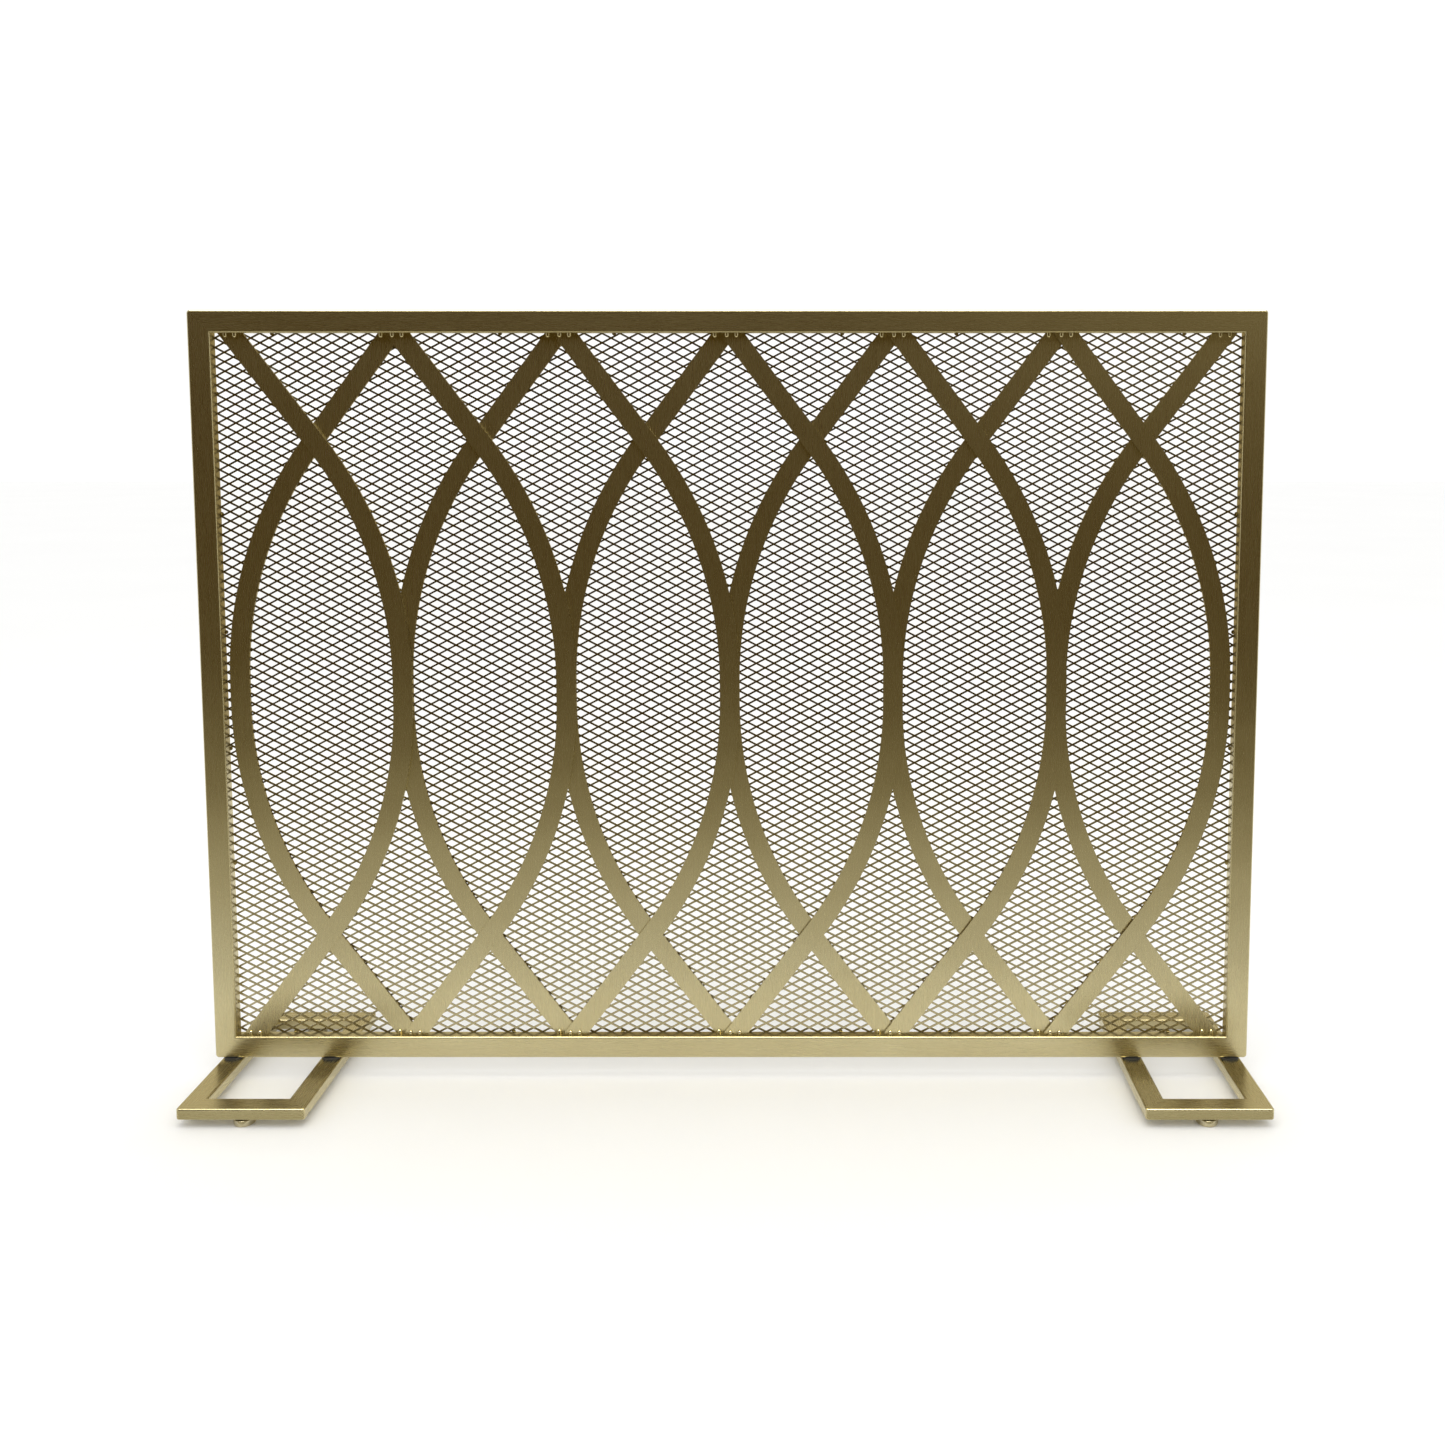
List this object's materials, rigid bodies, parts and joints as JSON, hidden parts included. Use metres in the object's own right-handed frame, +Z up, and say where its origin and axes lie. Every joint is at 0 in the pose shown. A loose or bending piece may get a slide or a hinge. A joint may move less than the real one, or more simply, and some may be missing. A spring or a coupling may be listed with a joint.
{
  "type": "fireplace screen",
  "caption": "Free-standing single-panel fireplace screen: a mitred tube frame with overlapping bowed bars over an expanded-metal mesh, on two low tube feet.",
  "frame": {"origin": "on the floor, under the middle of the screen", "axes": "+X to the right along the panel, +Y to the back, +Z up; the front faces -Y"},
  "size_m": [0.965, 0.2, 0.711],
  "materials": {
    "frame": "satin champagne-gold lacquer with a fine brushed grain along each tube",
    "bars": "satin champagne-gold lacquer with a fine brushed grain along each bar",
    "mesh": "satin gold-brown lacquer on flattened expanded metal",
    "welds": "lacquered weld beads",
    "glides": "glossy gold lacquer",
    "fasteners": "zinc plated",
    "spacers": "black nylon"
  },
  "bodies": {
    "screen": {"bar_welds_bottom": "welds", "bar_welds_top": "welds", "bow_bar_front_1": "bars", "bow_bar_front_2": "bars", "bow_bar_front_3": "bars", "bow_bar_front_4": "bars", "bow_bar_front_5": "bars", "bow_bar_front_6": "bars", "bow_bar_rear_1": "bars", "bow_bar_rear_2": "bars", "bow_bar_rear_3": "bars", "bow_bar_rear_4": "bars", "bow_bar_rear_5": "bars", "bow_bar_rear_6": "bars", "foot_screw_washers": "fasteners", "foot_screws": "fasteners", "foot_spacers": "spacers", "frame_bottom_rail": "frame", "frame_left_rail": "frame", "frame_right_rail": "frame", "frame_top_rail": "frame", "glide_inserts": "fasteners", "left_foot_front_bar": "frame", "left_foot_left_bar": "frame", "left_foot_rear_bar": "frame", "left_foot_right_bar": "frame", "mesh_panel": "mesh", "mesh_welds": "welds", "rail_rivet_nuts": "fasteners", "right_foot_front_bar": "frame", "right_foot_left_bar": "frame", "right_foot_rear_bar": "frame", "right_foot_right_bar": "frame"},
    "front_left_glide": {"glide_base_front_left": "glides", "glide_stud_front_left": "fasteners"},
    "front_right_glide": {"glide_base_front_right": "glides", "glide_stud_front_right": "fasteners"},
    "rear_left_glide": {"glide_base_rear_left": "glides", "glide_stud_rear_left": "fasteners"},
    "rear_right_glide": {"glide_base_rear_right": "glides", "glide_stud_rear_right": "fasteners"}
  },
  "joints": [
    {"name": "front_left_glide_height", "type": "slide", "parent": "screen", "child": "front_left_glide", "axis": [0, 0, -1], "range_m": [-0.0005, 0.005]},
    {"name": "front_right_glide_height", "type": "slide", "parent": "screen", "child": "front_right_glide", "axis": [0, 0, -1], "range_m": [-0.0005, 0.005]},
    {"name": "rear_left_glide_height", "type": "slide", "parent": "screen", "child": "rear_left_glide", "axis": [0, 0, -1], "range_m": [-0.0005, 0.005]},
    {"name": "rear_right_glide_height", "type": "slide", "parent": "screen", "child": "rear_right_glide", "axis": [0, 0, -1], "range_m": [-0.0005, 0.005]}
  ]
}
